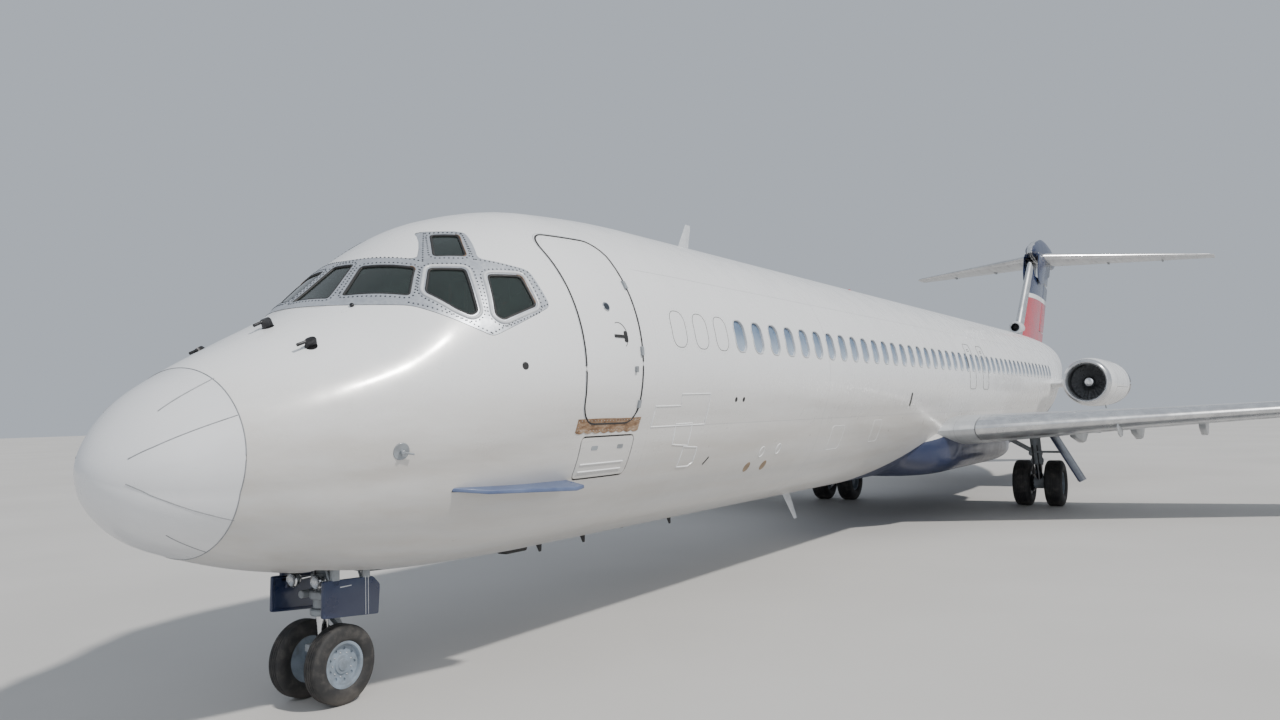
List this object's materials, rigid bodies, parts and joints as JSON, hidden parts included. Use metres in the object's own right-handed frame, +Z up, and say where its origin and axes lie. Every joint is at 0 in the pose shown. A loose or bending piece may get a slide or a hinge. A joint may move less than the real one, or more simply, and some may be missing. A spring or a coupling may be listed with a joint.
{
  "type": "1:2 scale model of a narrow-body airliner",
  "caption": "Twin-engined rear-engine narrow-body airliner with a T tail, parked on its gear, with moving controls, doors, stair, fans and wheels.",
  "frame": {"origin": "on the ground under the middle of the length, on the plane of symmetry", "axes": "+X towards the nose, +Y to the aircraft's left, +Z up"},
  "size_m": [20.225, 14.235, 4.2587],
  "materials": {
    "white_paint": "gloss white aircraft paint, greyed by dirt low down",
    "radome_white": "painted composite with fine diverter strips",
    "window_frame": "worn blue-grey metal with rows of rivets",
    "navy_paint": "gloss navy paint",
    "red_paint": "gloss deep red paint",
    "bare_skin": "brushed bare and silver-painted skin",
    "gear_grey": "satin grey paint, oily at the joints",
    "engine_dark": "heat-stained dark metal",
    "fan_metal": "satin blade metal",
    "tyre": "matt black rubber"
  },
  "bodies": {
    "airframe": {"radome": "radome_white", "fuselage_nose": "white_paint", "cockpit_glazing": "window_frame", "passenger_door": "white_paint", "strake_left": "navy_paint", "strake_right": "navy_paint", "fuselage_forward": "white_paint", "fuselage_centre": "white_paint", "fuselage_aft": "white_paint", "wing_left": "bare_skin", "wing_right": "bare_skin", "main_leg_left": "gear_grey", "main_leg_right": "gear_grey", "main_gear_door_left": "gear_grey", "main_gear_door_right": "gear_grey", "nose_leg": "gear_grey", "nose_gear_door_left": "navy_paint", "nose_gear_door_right": "navy_paint", "nacelle_left": "white_paint", "nacelle_right": "white_paint", "engine_left": "engine_dark", "engine_right": "engine_dark", "pylon_left": "white_paint", "pylon_right": "white_paint", "fin": "red_paint"},
    "nose_fork": {"nose_fork": "gear_grey"},
    "nose_wheels": {"nose_wheels": "gear_grey", "nose_tyre_left": "tyre", "nose_tyre_right": "tyre"},
    "airstair_door": {"airstair_door": "white_paint"},
    "cargo_door_forward": {"cargo_door_forward": "white_paint"},
    "cargo_door_aft": {"cargo_door_aft": "white_paint"},
    "ventral_stair": {"ventral_stair": "white_paint"},
    "rudder": {"rudder": "navy_paint"},
    "tailplane": {"tailplane": "bare_skin"},
    "main_wheels_left": {"main_wheels_left": "gear_grey", "main_tyre_left_inner": "tyre", "main_tyre_left_outer": "tyre"},
    "fan_left": {"fan_left": "fan_metal"},
    "elevator_left": {"elevator_left": "bare_skin"},
    "aileron_left": {"aileron_left": "bare_skin"},
    "flap_inner_left": {"flap_inner_left": "bare_skin"},
    "flap_outer_left": {"flap_outer_left": "bare_skin"},
    "spoiler_left": {"spoiler_left": "bare_skin"},
    "slat_left": {"slat_left": "bare_skin"},
    "reverser_upper_left": {"reverser_upper_left": "bare_skin"},
    "reverser_lower_left": {"reverser_lower_left": "bare_skin"},
    "main_wheels_right": {"main_wheels_right": "gear_grey", "main_tyre_right_inner": "tyre", "main_tyre_right_outer": "tyre"},
    "fan_right": {"fan_right": "fan_metal"},
    "elevator_right": {"elevator_right": "bare_skin"},
    "aileron_right": {"aileron_right": "bare_skin"},
    "flap_inner_right": {"flap_inner_right": "bare_skin"},
    "flap_outer_right": {"flap_outer_right": "bare_skin"},
    "spoiler_right": {"spoiler_right": "bare_skin"},
    "slat_right": {"slat_right": "bare_skin"},
    "reverser_upper_right": {"reverser_upper_right": "bare_skin"},
    "reverser_lower_right": {"reverser_lower_right": "bare_skin"}
  },
  "joints": [
    {"name": "nose_steering", "type": "hinge", "parent": "airframe", "child": "nose_fork", "pos_m": [9.1, 0, 0.165], "axis": [0, 0, 1], "range_deg": [-82, 82]},
    {"name": "nose_wheel_spin", "type": "hinge", "parent": "nose_fork", "child": "nose_wheels", "pos_m": [9.1, 0, 0.165], "axis": [0, 1, 0], "continuous": true},
    {"name": "main_wheel_spin_left", "type": "hinge", "parent": "airframe", "child": "main_wheels_left", "pos_m": [-0.1775, 1.23, 0.26], "axis": [0, 1, 0], "continuous": true},
    {"name": "main_wheel_spin_right", "type": "hinge", "parent": "airframe", "child": "main_wheels_right", "pos_m": [-0.1775, -1.23, 0.26], "axis": [0, 1, 0], "continuous": true},
    {"name": "fan_spin_left", "type": "hinge", "parent": "airframe", "child": "fan_left", "pos_m": [-3.2125, 1.4, 1.4535], "axis": [1, 0, 0], "continuous": true},
    {"name": "fan_spin_right", "type": "hinge", "parent": "airframe", "child": "fan_right", "pos_m": [-3.2125, -1.4, 1.4535], "axis": [1, 0, 0], "continuous": true},
    {"name": "rudder_hinge", "type": "hinge", "parent": "airframe", "child": "rudder", "pos_m": [-7.10853, 0, 2.475], "axis": [-0.6275, 0, 0.7786], "range_deg": [-22, 22]},
    {"name": "tailplane_trim", "type": "hinge", "parent": "airframe", "child": "tailplane", "pos_m": [-8.7025, 0, 3.8], "axis": [0, 1, 0], "range_deg": [-2, 12]},
    {"name": "elevator_hinge_left", "type": "hinge", "parent": "tailplane", "child": "elevator_left", "pos_m": [-8.77731, 0.25, 3.895], "axis": [-0.4022, 0.9156, 0], "range_deg": [-15, 25]},
    {"name": "elevator_hinge_right", "type": "hinge", "parent": "tailplane", "child": "elevator_right", "pos_m": [-8.77731, -0.25, 3.895], "axis": [0.4022, 0.9156, 0], "range_deg": [-15, 25]},
    {"name": "aileron_hinge_left", "type": "hinge", "parent": "airframe", "child": "aileron_left", "pos_m": [-1.02321, 4.875, 1.12574], "axis": [-0.301, 0.9522, 0.0531], "range_deg": [-20, 20]},
    {"name": "aileron_hinge_right", "type": "hinge", "parent": "airframe", "child": "aileron_right", "pos_m": [-1.02321, -4.875, 1.12574], "axis": [0.301, 0.9522, -0.0531], "range_deg": [-20, 20]},
    {"name": "flap_inner_hinge_left", "type": "hinge", "parent": "airframe", "child": "flap_inner_left", "pos_m": [-0.12288, 1, 0.72391], "axis": [0.1838, -0.9813, -0.057], "range_deg": [0, 50]},
    {"name": "flap_inner_hinge_right", "type": "hinge", "parent": "airframe", "child": "flap_inner_right", "pos_m": [-0.12288, -1, 0.72391], "axis": [-0.1838, -0.9813, 0.057], "range_deg": [0, 50]},
    {"name": "flap_outer_hinge_left", "type": "hinge", "parent": "airframe", "child": "flap_outer_left", "pos_m": [-0.41118, 2.525, 0.81245], "axis": [0.2843, -0.9572, -0.0537], "range_deg": [0, 50]},
    {"name": "flap_outer_hinge_right", "type": "hinge", "parent": "airframe", "child": "flap_outer_right", "pos_m": [-0.41118, -2.525, 0.81245], "axis": [-0.2843, -0.9572, 0.0537], "range_deg": [0, 50]},
    {"name": "spoiler_hinge_left", "type": "hinge", "parent": "airframe", "child": "spoiler_left", "pos_m": [-0.11817, 2.65, 1.07433], "axis": [-0.3268, 0.9442, 0.0415], "range_deg": [0, 60]},
    {"name": "spoiler_hinge_right", "type": "hinge", "parent": "airframe", "child": "spoiler_right", "pos_m": [-0.11817, -2.65, 1.07433], "axis": [0.3268, 0.9442, -0.0415], "range_deg": [0, 60]},
    {"name": "slat_track_left", "type": "slide", "parent": "airframe", "child": "slat_left", "axis": [0.8557, 0.4481, -0.2588], "range_m": [0, 0.1]},
    {"name": "slat_track_right", "type": "slide", "parent": "airframe", "child": "slat_right", "axis": [0.8557, -0.4481, -0.2588], "range_m": [0, 0.1]},
    {"name": "reverser_upper_pivot_left", "type": "hinge", "parent": "airframe", "child": "reverser_upper_left", "pos_m": [-5.5675, 1.4, 1.4535], "axis": [0, -1, 0], "range_deg": [0, 75]},
    {"name": "reverser_lower_pivot_left", "type": "hinge", "parent": "airframe", "child": "reverser_lower_left", "pos_m": [-5.5675, 1.4, 1.4535], "axis": [0, 1, 0], "range_deg": [0, 75]},
    {"name": "reverser_upper_pivot_right", "type": "hinge", "parent": "airframe", "child": "reverser_upper_right", "pos_m": [-5.5675, -1.4, 1.4535], "axis": [0, -1, 0], "range_deg": [0, 75]},
    {"name": "reverser_lower_pivot_right", "type": "hinge", "parent": "airframe", "child": "reverser_lower_right", "pos_m": [-5.5675, -1.4, 1.4535], "axis": [0, 1, 0], "range_deg": [0, 75]},
    {"name": "airstair_door_hinge", "type": "hinge", "parent": "airframe", "child": "airstair_door", "pos_m": [8.015, 0.6975, 0.8825], "axis": [-1, 0, 0], "range_deg": [0, 110]},
    {"name": "cargo_door_forward_hinge", "type": "hinge", "parent": "airframe", "child": "cargo_door_forward", "pos_m": [5.91, -0.762, 1.064], "axis": [-1, 0, 0], "range_deg": [0, 110]},
    {"name": "cargo_door_aft_hinge", "type": "hinge", "parent": "airframe", "child": "cargo_door_aft", "pos_m": [-1.99, -0.762, 1.064], "axis": [-1, 0, 0], "range_deg": [0, 110]},
    {"name": "ventral_stair_hinge", "type": "hinge", "parent": "airframe", "child": "ventral_stair", "pos_m": [-4.5525, 0, 0.755], "axis": [0, -1, 0], "range_deg": [0, 37]}
  ],
  "couplings": [
    {"joint": "elevator_hinge_right", "follows": "elevator_hinge_left", "ratio": 1},
    {"joint": "aileron_hinge_right", "follows": "aileron_hinge_left", "ratio": -1},
    {"joint": "flap_inner_hinge_right", "follows": "flap_inner_hinge_left", "ratio": 1},
    {"joint": "flap_outer_hinge_left", "follows": "flap_inner_hinge_left", "ratio": 1},
    {"joint": "flap_outer_hinge_right", "follows": "flap_inner_hinge_left", "ratio": 1},
    {"joint": "spoiler_hinge_right", "follows": "spoiler_hinge_left", "ratio": 1},
    {"joint": "slat_track_right", "follows": "slat_track_left", "ratio": 1},
    {"joint": "reverser_lower_pivot_left", "follows": "reverser_upper_pivot_left", "ratio": 1},
    {"joint": "reverser_lower_pivot_right", "follows": "reverser_upper_pivot_right", "ratio": 1}
  ]
}
